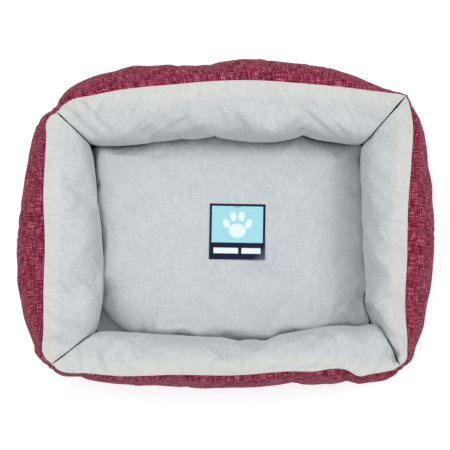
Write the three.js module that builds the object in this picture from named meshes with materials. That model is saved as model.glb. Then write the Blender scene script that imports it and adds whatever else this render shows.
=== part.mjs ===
// Rectangular pet cushion bed, in millimetres, +Z up.
//
// The origin is under the middle of the bed, on the surface it stands on. +X runs along the long
// side and +Y towards the back wall. Four stuffed walls stand round a flat base. Each wall is a
// pillow of polyester fibre between a linen-look outer cover, outside, and a short plush lining,
// inside. The two cloths meet in the seam that runs along the top of the walls, and a line of
// stitches down each corner closes one pillow off from the next. A loose crowned cushion lies in
// the well, with a square card label tagged to its middle.

import * as THREE from "three";

// ---- Driving dimensions -------------------------------------------------------------------

// The four corner seams, in plan
const BACK_LEFT = [-238, 162];
const BACK_RIGHT = [238, 162];
const FRONT_RIGHT = [238, -191];
const FRONT_LEFT = [-238, -191];

// Each wall, clockwise from above. bow is how far the top seam curves out past the straight line
// between its corners. outer and inner are how far the pillow swells out of and into the bed.
const WALLS = {
  back: { from: BACK_LEFT, to: BACK_RIGHT, bow: 30, outer: 38, inner: 70 },
  right: { from: BACK_RIGHT, to: FRONT_RIGHT, bow: 10, outer: 52, inner: 58 },
  front: { from: FRONT_RIGHT, to: FRONT_LEFT, bow: 15, outer: 24, inner: 54 },
  left: { from: FRONT_LEFT, to: BACK_LEFT, bow: 6, outer: 56, inner: 68 },
};

// Height of the top seam in the middle of a wall, and at the corners
const WALL_HEIGHT = 150;
const CORNER_HEIGHT = 138;

// At a corner seam the pillows are pinched to this, outside and inside the seam
const PINCH_OUTER = 4;
const PINCH_INNER = 46;

// Heights of the widest part of the outer and inner faces, as fractions of the wall
const OUTER_BULGE = 0.46;
const INNER_BULGE = 0.6;

// How far the foot of a wall tucks back from its widest part
const OUTER_TUCK = 0.5;
const INNER_TUCK = 22;

// Thickness of the cloths, the air left between touching pieces, and the air round the fibre
const OUTER_CLOTH = 1.6;
const LINING_CLOTH = 2.4;
const GAP = 0.4;
const FILL_GAP = 1.5;

// Base
const BASE_THICKNESS = 2.5;
const WALL_FOOT = BASE_THICKNESS + GAP;
const FLOOR_THICKNESS = 2.4;
const FLOOR_EDGE_GAP = 2.5;

// Loose cushion
const CUSHION_CENTRE = [7, -15.5];
const CUSHION_LENGTH = 357;
const CUSHION_WIDTH = 258;
const CUSHION_CORNER = 38;
const CUSHION_BOTTOM = WALL_FOOT + FLOOR_THICKNESS + GAP;
const CUSHION_SEAM = CUSHION_BOTTOM + 20;
const CUSHION_TOP = 62;
const CUSHION_CROWN = 7;
const CUSHION_EDGE = 26;
const CROWN_SLOPE = { scale: 0.6, rise: 0.8 };
const CROWN_FLAT = { scale: 0.2, rise: 1 };

// Card label and its nylon fastener
const LABEL_CENTRE = [17.5, -9];
const LABEL_SIZE = 80;
const LABEL_CORNER = 2;
const LABEL_THICKNESS = 0.6;
const LABEL_BOTTOM = CUSHION_TOP + 2 * GAP;
const TAG_HOLE_RADIUS = 1.3;
const TAG_HOLE_FROM_EDGE = 4.5;
const TAG_BAR_LENGTH = 12;
const TAG_BAR_THICKNESS = 1.1;
const TAG_STEM_WIDTH = 1;

// Corner stitching
const THREAD_RADIUS = 0.7;
const THREAD_SIDES = 6;
const THREAD_STEPS = 8;

// Places along a wall where its section is drawn, closest at the corners, where it changes most.
// The fibre stops at the second and the last but one, because the lining folds in at a corner.
const STATIONS = [0, 0.008, 0.05, 0.11, 0.19, 0.29, 0.4, 0.5, 0.6, 0.71, 0.81, 0.89, 0.95, 0.992, 1];
const MIDDLE = STATIONS.indexOf(0.5);

// ---- Materials ----------------------------------------------------------------------------

const finish = (color, roughness) => () => new THREE.MeshStandardMaterial({ color, roughness, metalness: 0 });
const OUTER_FABRIC = finish(0x86384b, 0.9);
const PLUSH = finish(0xc9d0d2, 0.95);
const FIBRE = finish(0xf2f2ee, 1);
const BASE_CLOTH = finish(0x33353a, 0.9);
const THREAD = finish(0x6f2c3e, 0.7);
const CARD = finish(0x7fc3d8, 0.35);
const NYLON = finish(0xe4eef0, 0.2);

// ---- Closed bodies from sections ----------------------------------------------------------

// Makes a closed body through a row of loops that all have the same number of points. Both end
// loops are closed with flat caps, cut as the outline of the section there.
function loft(loops, firstOutline, lastOutline = firstOutline) {
  const size = loops[0].length;
  const positions = loops.flat().flatMap((point) => [point.x, point.y, point.z]);
  const triangles = [];
  for (let row = 0; row < loops.length - 1; row += 1) {
    for (let column = 0; column < size; column += 1) {
      const next = (column + 1) % size;
      const a = row * size + column;
      const b = row * size + next;
      triangles.push([a, b, b + size], [a, b + size, a + size]);
    }
  }
  const lastStart = (loops.length - 1) * size;
  const clockwise = THREE.ShapeUtils.isClockWise(firstOutline);
  for (const [a, b, c] of THREE.ShapeUtils.triangulateShape(firstOutline, [])) {
    triangles.push(clockwise ? [a, b, c] : [a, c, b]);
  }
  for (const [a, b, c] of THREE.ShapeUtils.triangulateShape(lastOutline, [])) {
    const [d, e, f] = [a + lastStart, b + lastStart, c + lastStart];
    triangles.push(clockwise ? [d, f, e] : [d, e, f]);
  }
  return closedGeometry(positions, triangles);
}

// Turns all the faces round if they point into the body
function closedGeometry(positions, triangles) {
  const corner = (index) => new THREE.Vector3().fromArray(positions, index * 3);
  let volume = 0;
  for (const [a, b, c] of triangles) {
    volume += corner(a).dot(corner(b).cross(corner(c)));
  }
  const outward = volume > 0 ? triangles : triangles.map(([a, b, c]) => [a, c, b]);
  const geometry = new THREE.BufferGeometry();
  geometry.setAttribute("position", new THREE.Float32BufferAttribute(positions, 3));
  geometry.setIndex(outward.flat());
  geometry.computeVertexNormals();
  return geometry;
}

// ---- Wall sections ------------------------------------------------------------------------

// A section point is (u, z): u is measured outwards from the top seam, square to the wall.

const UPPER_STEPS = 4;
const LOWER_STEPS = 3;
const SHOULDER = 0.85;
const LOWER_SWEEP = Math.PI / 3;
const SEAM_RISE = 0.7;
const SWELL_RISE = 0.8;

// Share of its full height or swell that a wall has at t, which goes from 0 to 1 along it
const arch = (t, power) => Math.max(Math.sin(Math.PI * t), 0) ** power;
const seamHeight = (t) => THREE.MathUtils.lerp(CORNER_HEIGHT, WALL_HEIGHT, arch(t, SEAM_RISE));
const fullness = (t) => arch(t, SWELL_RISE);

// One face of a pillow from the top seam to its foot: round over the shoulder, widest at the
// bulge, and tucked back to the foot. side is 1 on the outer face and -1 on the inner face.
function faceProfile(side, top, bulge, swell, foot) {
  const points = [];
  for (let step = 0; step <= UPPER_STEPS; step += 1) {
    const angle = (Math.PI / 2) * (1 - step / UPPER_STEPS);
    const across = Math.cos(angle) ** SHOULDER;
    const up = Math.sin(angle) ** SHOULDER;
    points.push(new THREE.Vector2(side * swell * across, bulge + (top - bulge) * up));
  }
  for (let step = 1; step <= LOWER_STEPS; step += 1) {
    const angle = (LOWER_SWEEP * step) / LOWER_STEPS;
    const tuck = (1 - Math.cos(angle)) / (1 - Math.cos(LOWER_SWEEP));
    const down = Math.sin(angle) / Math.sin(LOWER_SWEEP);
    const across = swell - (swell - foot) * tuck;
    points.push(new THREE.Vector2(side * across, bulge - (bulge - WALL_FOOT) * down));
  }
  return points;
}

function outerProfile(wall, t) {
  const swell = PINCH_OUTER + (wall.outer - PINCH_OUTER) * fullness(t);
  const foot = PINCH_OUTER + (wall.outer * OUTER_TUCK - PINCH_OUTER) * fullness(t);
  return faceProfile(1, seamHeight(t), OUTER_BULGE * WALL_HEIGHT, swell, foot);
}

function innerProfile(wall, t) {
  const swell = PINCH_INNER + (wall.inner - PINCH_INNER) * fullness(t);
  return faceProfile(-1, seamHeight(t), INNER_BULGE * WALL_HEIGHT, swell, swell - INNER_TUCK);
}

// The same profile moved into the pillow by a distance, square to itself
function inset(profile, side, distance) {
  return profile.map((point, index) => {
    const before = profile[Math.max(index - 1, 0)];
    const after = profile[Math.min(index + 1, profile.length - 1)];
    const along = after.clone().sub(before).normalize();
    return new THREE.Vector2(point.x + side * along.y * distance, point.y - side * along.x * distance);
  });
}

// Lengthens or shortens the last stretch of a profile, so that it ends at a height
function endAt(profile, height) {
  const [before, last] = profile.slice(-2);
  const share = (height - before.y) / (last.y - before.y);
  return [...profile.slice(0, -1), before.clone().lerp(last, share)];
}

// Closed section of a cloth on one face: its outside, then its inside back up to the seam
function clothSection(profile, side, thickness) {
  const outside = profile.map((point) => point.clone());
  const inside = endAt(inset(profile, side, thickness), WALL_FOOT);
  outside[0].x = side * GAP * 0.5;
  inside[0].set(side * GAP * 0.5, profile[0].y - thickness);
  return [...outside, ...inside.reverse()];
}

const outerCoverSection = (wall, t) => clothSection(outerProfile(wall, t), 1, OUTER_CLOTH);
const liningSection = (wall, t) => clothSection(innerProfile(wall, t), -1, LINING_CLOTH);

// Closed section of the fibre that fills the pillow between the two cloths
function fillSection(wall, t) {
  const foot = WALL_FOOT + FILL_GAP;
  const outside = endAt(inset(outerProfile(wall, t), 1, OUTER_CLOTH + FILL_GAP), foot);
  const inside = endAt(inset(innerProfile(wall, t), -1, LINING_CLOTH + FILL_GAP), foot);
  const crown = new THREE.Vector2(0, seamHeight(t) - LINING_CLOTH - FILL_GAP);
  return [crown, ...outside.slice(1), ...inside.slice(1).reverse()];
}

// ---- Walls in the bed ---------------------------------------------------------------------

// Puts a section point of a wall in the bed. The ends of a wall are mitred, so a point further
// out starts further back along it, and the walls on both sides of a corner share its section.
function place(wall, t, point) {
  const from = new THREE.Vector2(...wall.from);
  const to = new THREE.Vector2(...wall.to);
  const along = to.clone().sub(from).normalize();
  const outward = new THREE.Vector2(-along.y, along.x);
  const start = from.addScaledVector(along, -point.x);
  const end = to.addScaledVector(along, point.x);
  const bow = wall.bow * (1 - (2 * t - 1) ** 2);
  const plan = start.lerp(end, t).addScaledVector(outward, point.x + bow);
  return new THREE.Vector3(plan.x, plan.y, point.y);
}

const ring = (wall, t, section) => section(wall, t).map((point) => place(wall, t, point));
const between = (first, second, share) => first.map((point, index) => point.clone().lerp(second[index], share));

// One length of a cloth: the whole of a wall and half of the wall on each side of it, so that
// the two lengths meet in the middle of the side walls.
function clothHalf(before, whole, after, section) {
  const loops = [
    ...STATIONS.slice(MIDDLE, -1).map((t) => ring(before, t, section)),
    ...STATIONS.slice(0, -1).map((t) => ring(whole, t, section)),
    ...STATIONS.slice(0, MIDDLE + 1).map((t) => ring(after, t, section)),
  ];
  const endGap = (GAP * 0.5) / loops[0][0].distanceTo(loops[1][0]);
  loops[0] = between(loops[0], loops[1], endGap);
  loops.push(between(loops.pop(), loops.at(-1), endGap));
  return loft(loops, section(before, 0.5), section(after, 0.5));
}

// The fibre of one wall
function fillPillow(wall) {
  const stations = STATIONS.slice(1, -1);
  const loops = stations.map((t) => ring(wall, t, fillSection));
  return loft(loops, fillSection(wall, stations[0]), fillSection(wall, stations.at(-1)));
}

// Thread down the outside of one corner seam, a little clear of the cloth
function cornerThread(wall) {
  const profile = outerProfile(wall, 0);
  const clear = GAP + THREAD_RADIUS;
  const path = profile.slice(1).map((point) => place(wall, 0, point.clone().setX(point.x + clear)));
  const section = new THREE.Shape();
  section.absarc(0, 0, THREAD_RADIUS, 0, 2 * Math.PI);
  return new THREE.ExtrudeGeometry(section, {
    steps: THREAD_STEPS,
    curveSegments: THREAD_SIDES / 2,
    bevelEnabled: false,
    extrudePath: new THREE.CatmullRomCurve3(path),
  });
}

// ---- Base and floor -----------------------------------------------------------------------

// Flat cloth whose edge follows the foot of a profile all round the bed
function flatPanel(profile, edge, bottom, thickness) {
  const outline = Object.values(WALLS).flatMap((wall) =>
    STATIONS.slice(0, -1).map((t) => {
      const foot = profile(wall, t).at(-1);
      const point = place(wall, t, foot.clone().setX(foot.x + edge));
      return new THREE.Vector2(point.x, point.y);
    }),
  );
  const geometry = new THREE.ExtrudeGeometry(new THREE.Shape(outline), { depth: thickness, bevelEnabled: false });
  return geometry.translate(0, 0, bottom);
}

// ---- Loose cushion ------------------------------------------------------------------------

const CUSHION_ARC_STEPS = 5;
const CUSHION_RINGS = 5;

// Rounded rectangle round the cushion's centre, moved in from its edge
function cushionRing(edge, z, scale = 1) {
  const halfLength = CUSHION_LENGTH / 2 - CUSHION_CORNER;
  const halfWidth = CUSHION_WIDTH / 2 - CUSHION_CORNER;
  const radius = CUSHION_CORNER - edge;
  const points = [];
  for (const [sideX, sideY, start] of [[1, 1, 0], [-1, 1, 1], [-1, -1, 2], [1, -1, 3]]) {
    for (let step = 0; step <= CUSHION_ARC_STEPS; step += 1) {
      const angle = (Math.PI / 2) * (start + step / CUSHION_ARC_STEPS);
      const x = sideX * halfLength + radius * Math.cos(angle);
      const y = sideY * halfWidth + radius * Math.sin(angle);
      points.push(new THREE.Vector3(CUSHION_CENTRE[0] + x * scale, CUSHION_CENTRE[1] + y * scale, z));
    }
  }
  return points;
}

// Rings of a half cushion from its side seam to its face, for a surface moved in by a distance.
// The rim turns over in a quarter round, and the crown rises on across the middle.
function halfCushion(seam, face, crown, inwards) {
  const rise = face - seam - Math.sign(face - seam) * inwards;
  const rings = [];
  for (let step = 0; step <= CUSHION_RINGS; step += 1) {
    const angle = (Math.PI / 2) * (step / CUSHION_RINGS);
    const edge = inwards + (CUSHION_EDGE - inwards) * (1 - Math.cos(angle));
    rings.push(cushionRing(edge, seam + rise * Math.sin(angle)));
  }
  for (const part of [CROWN_SLOPE, CROWN_FLAT]) {
    rings.push(cushionRing(CUSHION_EDGE, seam + rise + crown * part.rise, part.scale));
  }
  return rings;
}

// One cloth of the cushion: out along its outside from the middle, and back along its inside
function cushionPanel(seam, face, crown) {
  const outside = halfCushion(seam, face, crown, 0).reverse();
  const inside = halfCushion(seam, face, crown, LINING_CLOTH);
  return loft([...outside, ...inside], planOf(outside[0]), planOf(inside.at(-1)));
}

function cushionFill() {
  const inwards = LINING_CLOTH + FILL_GAP;
  const lower = halfCushion(CUSHION_SEAM - GAP, CUSHION_BOTTOM, 0, inwards).reverse();
  const upper = halfCushion(CUSHION_SEAM + GAP, CUSHION_TOP - CUSHION_CROWN, CUSHION_CROWN, inwards);
  return loft([...lower, ...upper], planOf(lower[0]), planOf(upper.at(-1)));
}

const planOf = (loop) => loop.map((point) => new THREE.Vector2(point.x, point.y));

// ---- Label --------------------------------------------------------------------------------

function labelCard() {
  const half = LABEL_SIZE / 2;
  const inner = half - LABEL_CORNER;
  const outline = new THREE.Shape();
  outline.absarc(inner, inner, LABEL_CORNER, 0, Math.PI / 2);
  outline.absarc(-inner, inner, LABEL_CORNER, Math.PI / 2, Math.PI);
  outline.absarc(-inner, -inner, LABEL_CORNER, Math.PI, 1.5 * Math.PI);
  outline.absarc(inner, -inner, LABEL_CORNER, 1.5 * Math.PI, 2 * Math.PI);
  const hole = new THREE.Path();
  hole.absarc(0, half - TAG_HOLE_FROM_EDGE, TAG_HOLE_RADIUS, 0, 2 * Math.PI);
  outline.holes.push(hole);
  return new THREE.ExtrudeGeometry(outline, { depth: LABEL_THICKNESS, curveSegments: 4, bevelEnabled: false });
}

// A bar that lies across the card, and the stem that holds it, down through the hole
function tagFastener() {
  const barBottom = LABEL_THICKNESS + GAP;
  const barTop = barBottom + TAG_BAR_THICKNESS;
  const stem = TAG_STEM_WIDTH / 2;
  const bar = TAG_BAR_LENGTH / 2;
  const outline = new THREE.Shape([
    new THREE.Vector2(-stem, -GAP),
    new THREE.Vector2(stem, -GAP),
    new THREE.Vector2(stem, barBottom),
    new THREE.Vector2(bar, barBottom),
    new THREE.Vector2(bar, barTop),
    new THREE.Vector2(-bar, barTop),
    new THREE.Vector2(-bar, barBottom),
    new THREE.Vector2(-stem, barBottom),
  ]);
  const geometry = new THREE.ExtrudeGeometry(outline, { depth: TAG_STEM_WIDTH, bevelEnabled: false });
  return geometry.translate(0, 0, -stem).rotateX(Math.PI / 2);
}

// ---- Assembly -----------------------------------------------------------------------------

const bed = new THREE.Group();

function add(parent, name, geometry, material) {
  const mesh = new THREE.Mesh(geometry, material());
  mesh.name = name;
  parent.add(mesh);
  return mesh;
}

const { back, right, front, left } = WALLS;

const shell = new THREE.Group();
bed.add(shell);
add(shell, "outer_cover_back", clothHalf(left, back, right, outerCoverSection), OUTER_FABRIC);
add(shell, "outer_cover_front", clothHalf(right, front, left, outerCoverSection), OUTER_FABRIC);
add(shell, "lining_back", clothHalf(left, back, right, liningSection), PLUSH);
add(shell, "lining_front", clothHalf(right, front, left, liningSection), PLUSH);
for (const [name, wall] of Object.entries(WALLS)) {
  add(shell, `bolster_fill_${name}`, fillPillow(wall), FIBRE);
}
const corners = { back_left: back, back_right: right, front_right: front, front_left: left };
for (const [name, wall] of Object.entries(corners)) {
  add(shell, `corner_stitch_${name}`, cornerThread(wall), THREAD);
}
add(shell, "base_panel", flatPanel(outerProfile, 0, 0, BASE_THICKNESS), BASE_CLOTH);
const floor = flatPanel(innerProfile, -FLOOR_EDGE_GAP, WALL_FOOT, FLOOR_THICKNESS);
add(shell, "floor_panel", floor, PLUSH);

const cushion = new THREE.Group();
bed.add(cushion);
const topPanel = cushionPanel(CUSHION_SEAM + GAP, CUSHION_TOP - CUSHION_CROWN, CUSHION_CROWN);
const bottomPanel = cushionPanel(CUSHION_SEAM - GAP, CUSHION_BOTTOM, 0);
add(cushion, "cushion_top_panel", topPanel, PLUSH);
add(cushion, "cushion_bottom_panel", bottomPanel, PLUSH);
add(cushion, "cushion_fill", cushionFill(), FIBRE);

const label = new THREE.Group();
label.position.set(...LABEL_CENTRE, LABEL_BOTTOM);
bed.add(label);
add(label, "label_card", labelCard(), CARD);
const fastener = add(label, "label_fastener", tagFastener(), NYLON);
fastener.position.y = LABEL_SIZE / 2 - TAG_HOLE_FROM_EDGE;

export default bed;
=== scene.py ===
"""Looks of a rectangular pet cushion bed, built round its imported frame.

Everything is in metres, in the frame's own axes: +X along the bed, +Y towards the back wall and
+Z up. The four stuffed walls and the loose cushion are grids of cloth, drawn from the frame and
then inflated by cloth simulation, and every cloth, filling and stitch is cut from those grids.
"""

import math

import bmesh
import bpy
import numpy as np
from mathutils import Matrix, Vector


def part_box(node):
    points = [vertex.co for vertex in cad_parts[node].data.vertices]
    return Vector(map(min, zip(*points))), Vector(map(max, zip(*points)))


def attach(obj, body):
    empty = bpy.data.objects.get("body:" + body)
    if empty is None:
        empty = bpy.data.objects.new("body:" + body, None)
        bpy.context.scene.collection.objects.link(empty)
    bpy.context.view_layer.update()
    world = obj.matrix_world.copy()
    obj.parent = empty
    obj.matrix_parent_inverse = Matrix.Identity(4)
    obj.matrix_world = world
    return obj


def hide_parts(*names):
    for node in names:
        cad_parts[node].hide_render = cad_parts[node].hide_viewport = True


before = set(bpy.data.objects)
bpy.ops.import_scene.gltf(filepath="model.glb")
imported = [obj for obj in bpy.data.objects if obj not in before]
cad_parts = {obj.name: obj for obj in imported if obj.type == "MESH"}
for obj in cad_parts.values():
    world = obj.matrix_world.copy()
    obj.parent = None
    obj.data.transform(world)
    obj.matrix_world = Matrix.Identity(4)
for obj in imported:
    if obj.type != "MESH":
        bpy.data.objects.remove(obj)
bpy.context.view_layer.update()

MM = 0.001

# ---- Shape of the bed ---------------------------------------------------------------------

# The frame's corner threads stand this far outside the corner seams, along X and along Y
THREAD_STANDOFF = 5.1 * MM

# How far the top of each corner has settled from its place in the sewn pattern, in mm
CORNER_LEAN = {
    "back_left": (5, -8),
    "back_right": (12, 14),
    "front_right": (1, -6),
    "front_left": (1, -3),
}

# How far every corner seam would spread outwards from its top to its foot, and how straight its
# line would be, 1 for straight. Then the share of its height below which it tucks in again, and
# the share of the spread that this takes off at the foot
CORNER_SPREAD, CORNER_LINE = 24 * MM, 0.7
CORNER_BULGE, CORNER_TUCK = 0.42, 0.6

# From each corner seam to the corner of the well, where two walls' linings part, in mm
WELL_CORNER = {
    "back_left": (43, -40),
    "back_right": (-56, -64),
    "front_right": (-27, 61),
    "front_left": (56, 43),
}

# Each wall, clockwise from above, as (place along it, mm) pairs: how far the top seam curves out
# past the straight line between its corners, and how far the outer and the inner face swell
# out of and into the bed from the top seam.
WALLS = {
    "back": {
        "corners": ("back_left", "back_right"),
        "seam": [
            (0, 0), (0.05, 13), (0.1, 16.5), (0.18, 22), (0.33, 26), (0.55, 27), (0.68, 21), (0.8, 13.5),
            (0.92, 4), (1, 0),
        ],
        "outer": [
            (0, 3), (0.04, 13), (0.1, 23), (0.2, 28), (0.33, 30), (0.43, 27), (0.6, 32), (0.72, 30),
            (0.8, 29), (0.9, 18), (1, 3),
        ],
        "inner": [
            (0, 55), (0.1, 61), (0.2, 66), (0.3, 63), (0.42, 65), (0.5, 68), (0.61, 73), (0.7, 63),
            (0.8, 65), (0.88, 64), (1, 60),
        ],
    },
    "right": {
        "corners": ("back_right", "front_right"),
        "seam": [
            (0, 0), (0.09, 6), (0.25, 5), (0.4, 2), (0.62, 2), (0.78, 1), (0.93, 6), (0.97, 6), (1, 0),
        ],
        "outer": [
            (0, 3), (0.09, 15), (0.17, 23), (0.26, 29), (0.44, 39), (0.53, 40), (0.7, 35), (0.82, 26),
            (0.93, 12), (1, 3),
        ],
        "inner": [
            (0, 52), (0.15, 59), (0.24, 59), (0.35, 51), (0.5, 48), (0.6, 46), (0.68, 39), (0.76, 46),
            (0.86, 42), (1, 40),
        ],
    },
    "front": {
        "corners": ("front_right", "front_left"),
        "seam": [
            (0, 0), (0.04, 4.5), (0.09, 8), (0.12, 10.5), (0.155, 2), (0.2, 0.5), (0.24, 3.5), (0.32, 4),
            (0.47, 10.5), (0.64, 9.5), (0.8, 12), (0.9, 8.5), (0.97, 7), (1, 0),
        ],
        "outer": [
            (0, 3), (0.04, 9), (0.13, 8), (0.19, 17), (0.24, 14), (0.3, 16), (0.42, 15), (0.6, 13),
            (0.75, 9), (0.85, 8), (0.93, 3), (1, 3),
        ],
        "inner": [
            (0, 56), (0.12, 56), (0.2, 50), (0.28, 48), (0.37, 41), (0.46, 42), (0.6, 44), (0.74, 49),
            (0.84, 54), (1, 44),
        ],
    },
    "left": {
        "corners": ("front_left", "back_left"),
        "seam": [
            (0, 0), (0.045, 9), (0.12, 8), (0.3, 8.5), (0.5, 8), (0.65, 11), (0.83, 10), (0.9, 9.5),
            (0.96, 10), (1, 0),
        ],
        "outer": [
            (0, 3), (0.05, 8), (0.12, 18), (0.22, 29), (0.33, 35), (0.45, 39), (0.56, 36), (0.68, 28),
            (0.84, 20), (0.92, 14.5), (0.965, 7), (1, 3),
        ],
        "inner": [
            (0, 50), (0.12, 63), (0.25, 70), (0.4, 66), (0.5, 66), (0.62, 62), (0.75, 59), (0.85, 53),
            (1, 46),
        ],
    },
}

# Folds and joins of the cloths. Each runs from one place to another, both given as the share of
# the way along the cloth and the mm down from the seam, and then has its half width and its height
# in mm, inwards if below 0.
FOLDS = {
    ("back", "outer"): [
        (0.775, 0, 0.775, 80, 2.2, -2.2), (0.17, 0, 0.185, 34, 4.5, -3.2), (0.10, 2, 0.13, 30, 4, -2.4),
        (0.33, 0, 0.325, 26, 5, -2.2), (0.88, 4, 0.80, 34, 5.5, -2.2), (0.95, 6, 0.87, 46, 5, -2),
        (0.43, 6, 0.44, 60, 9, 1.2), (0.06, 70, 0.15, 135, 7, -4), (0.94, 66, 0.86, 130, 7, -4),
        (0.36, 95, 0.47, 128, 8, -3), (0.70, 92, 0.61, 126, 7, -3),
    ],
    ("back", "inner"): [
        (0.775, 0, 0.775, 60, 1.8, -1.3), (0.66, 26, 0.78, 90, 5, -3), (0.72, 16, 0.80, 84, 4.5, -2.6),
        (0.79, 10, 0.83, 80, 4.5, -2.4), (0.03, 6, 0.14, 62, 4, -3.6), (0.08, 6, 0.17, 56, 4.5, -3.2),
        (0.30, 14, 0.27, 86, 9, -2.4), (0.38, 8, 0.35, 78, 8, -2.2), (0.46, 12, 0.44, 88, 8, -1.6),
    ],
    ("right", "outer"): [
        (0.10, 0, 0.16, 40, 4.5, -2.4), (0.76, 0, 0.74, 40, 6, -1.6), (0.93, 2, 0.85, 36, 4, -2),
        (0.07, 70, 0.18, 132, 7, -4), (0.93, 72, 0.82, 130, 7, -4), (0.42, 96, 0.55, 126, 8, -3),
    ],
    ("right", "inner"): [
        (0.965, 12, 0.91, 36, 4, -3.5), (0.13, 4, 0.20, 80, 4.5, -2.4), (0.84, 8, 0.76, 80, 6, -2.4),
        (0.90, 6, 0.80, 84, 4, -1.6),
    ],
    ("front", "outer"): [
        (0.19, 2, 0.09, 40, 4, -3.4), (0.16, 1, 0.06, 26, 3, -2.2), (0.24, 4, 0.13, 58, 5, 2.4),
        (0.91, 2, 0.86, 40, 5, -2), (0.05, 72, 0.14, 132, 7, -4), (0.95, 66, 0.85, 130, 7, -4),
        (0.30, 94, 0.40, 128, 8, -3), (0.68, 90, 0.58, 126, 7, -3),
    ],
    ("front", "inner"): [
        (0.02, 12, 0.075, 36, 4, -4.5), (0.12, 4, 0.22, 60, 6, -2.2), (0.16, 4, 0.26, 70, 5, -1.6),
        (0.88, 8, 0.80, 70, 6, -1.8),
    ],
    ("left", "outer"): [
        (0.43, 2, 0.40, 46, 6, -1.8), (0.92, 2, 0.86, 40, 5, -2), (0.07, 2, 0.12, 44, 5, -2.2),
        (0.06, 70, 0.17, 132, 7, -4), (0.94, 70, 0.83, 130, 7, -4), (0.58, 94, 0.46, 126, 8, -3),
    ],
    ("left", "inner"): [
        (0.10, 10, 0.20, 84, 6, -1.8), (0.88, 8, 0.80, 80, 5, -1.8), (0.55, 30, 0.62, 84, 9, -1.6),
    ],
}

# The top of the walls' corners, which the threads don't quite reach, and of the walls between
CORNER_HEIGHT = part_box("corner_stitch_back_left")[1].z + 4 * MM
WALL_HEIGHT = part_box("lining_back")[1].z
FOOT_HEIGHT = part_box("lining_back")[0].z

# The share of its height at which a face is widest, and the share of its swell left at its foot
OUTER_BULGE, INNER_BULGE = 0.46, 0.68
OUTER_FOOT, INNER_FOOT = 0.25, 0.68

# How square the upper part of each face is, from 1 for a quarter of an ellipse down to 0
OUTER_ROUND, INNER_ROUND = 0.85, 0.6

# A face's usual swell and height, by which its section is divided evenly
SECTION_SIZE = np.array([60, 147]) * MM

# The lower part of a section is an arc up to this angle
FOOT_ANGLE = math.pi / 3

# How squarely the top seam rises from the corners, the share of its small waves that is left at
# the foot, and the share of the height above which all of them show
SEAM_ARCH = 0.7
WAVES_LEFT, WAVES_FULL = 0.25, 0.75

# Over which share of its length a wall's outer and inner faces ease into its corners
OUTER_EASE, INNER_EASE = 0.02, 0.06

# How deep and how wide the valley is where two walls' linings meet, and how far apart they stay
VALLEY_DEPTH, VALLEY_WIDTH = 9 * MM, 16 * MM
MITRE_GAP = 0.7 * MM

# How far the lining stays inside the corner seams, which it comes to over this share of the height
LINING_SHY, SHY_OVER = 5 * MM, 0.06

# How far the lining is pulled in at the top of each corner seam, and over what width
TUCK, TUCK_WIDTH = 2.2 * MM, 7 * MM

# ---- Curves and grids ---------------------------------------------------------------------


def smoothstep(x):
    x = np.clip(x, 0, 1)
    return x * x * (3 - 2 * x)


def through(pairs, t):
    """A smooth curve through (place, value) pairs, read at t."""
    x, y = np.array(pairs, float).T
    slope = np.gradient(y, x)
    k = np.clip(np.searchsorted(x, t, side="right") - 1, 0, len(x) - 2)
    h = x[k + 1] - x[k]
    s = (t - x[k]) / h
    return (
        y[k] * (1 + 2 * s) * (1 - s) ** 2
        + y[k + 1] * s * s * (3 - 2 * s)
        + h * (slope[k] * s * (1 - s) ** 2 - slope[k + 1] * s * s * (1 - s))
    )


def lengths(points):
    """Distance along a row of points, starting at 0."""
    steps = np.linalg.norm(np.diff(points, axis=0), axis=1)
    return np.concatenate([[0], np.cumsum(steps)])


def respaced(points, count):
    """A row of points moved to even distances along its own line."""
    along = lengths(points)
    at = np.linspace(0, along[-1], count)
    return np.stack([np.interp(at, along, points[:, k]) for k in range(3)], axis=1)


def cubic(values, places):
    """Catmull-Rom reading of the rows of values at places, which are fractions of a row."""
    last = len(values) - 1
    k = np.clip(np.floor(places).astype(int), 0, last - 1)
    s = (places - k).reshape((-1,) + (1,) * (values.ndim - 1))
    a, b, c, d = (values[np.clip(k + step, 0, last)] for step in (-1, 0, 1, 2))
    a = np.where((k == 0).reshape(s.shape), 2 * b - c, a)
    d = np.where((k == last - 1).reshape(s.shape), 2 * c - b, d)
    curve = 2 * a - 5 * b + 4 * c - d + s * (3 * (b - c) + d - a)
    return b + 0.5 * s * (c - a + s * curve)


def resampled(grid, rows, columns):
    """A grid of points read on a finer or coarser set of rows and columns."""
    tall = cubic(grid, np.asarray(rows, float))
    return np.swapaxes(cubic(np.swapaxes(tall, 0, 1), np.asarray(columns, float)), 0, 1)


def smoothed(grid, rounds):
    """Evens a grid out between its edges, which stay."""
    grid = grid.copy()
    for _ in range(rounds):
        middle = grid[1:-1, 1:-1]
        around = (grid[:-2, 1:-1] + grid[2:, 1:-1] + grid[1:-1, :-2] + grid[1:-1, 2:]) / 4
        grid[1:-1, 1:-1] = middle + 0.5 * (around - middle)
    return grid


def normals_of(grid, side=1):
    """Unit normals of a grid of points, from its rows crossed with its columns."""
    down = np.gradient(grid, axis=0)
    across = np.gradient(grid, axis=1)
    normal = np.cross(down, across) * side
    return normal / np.maximum(np.linalg.norm(normal, axis=2, keepdims=True), 1e-12)


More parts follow.
